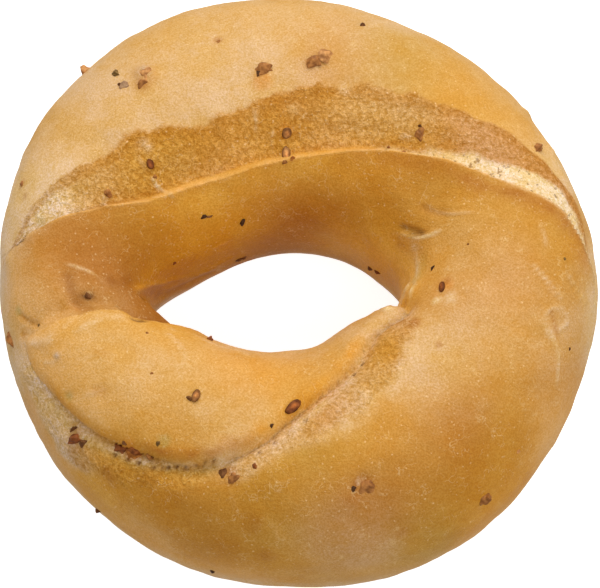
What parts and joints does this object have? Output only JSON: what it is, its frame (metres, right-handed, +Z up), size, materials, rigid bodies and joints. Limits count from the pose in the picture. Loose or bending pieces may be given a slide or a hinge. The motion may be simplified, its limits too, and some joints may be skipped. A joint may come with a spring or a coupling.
{
  "type": "bagel",
  "caption": "Hand-rolled bagel with a lapped end and a burst crust: a ring of baked dough that lies flat and is split and filled to eat.",
  "frame": {"origin": "middle of the bagel's box, on the plane its flat foot rests on", "axes": "+Z up through the hole; -Y towards the front, where the lapped end lies; +Y towards the back, where the crust burst; +X to the right"},
  "size_m": [0.1098, 0.1136, 0.0382],
  "materials": {
    "crust": "satin golden bread crust, paler and floury along the tear",
    "fleck": "matt dark toasted onion fleck, baked into the crust"
  },
  "bodies": {
    "root": {"bagel": "crust"}
  },
  "joints": []
}
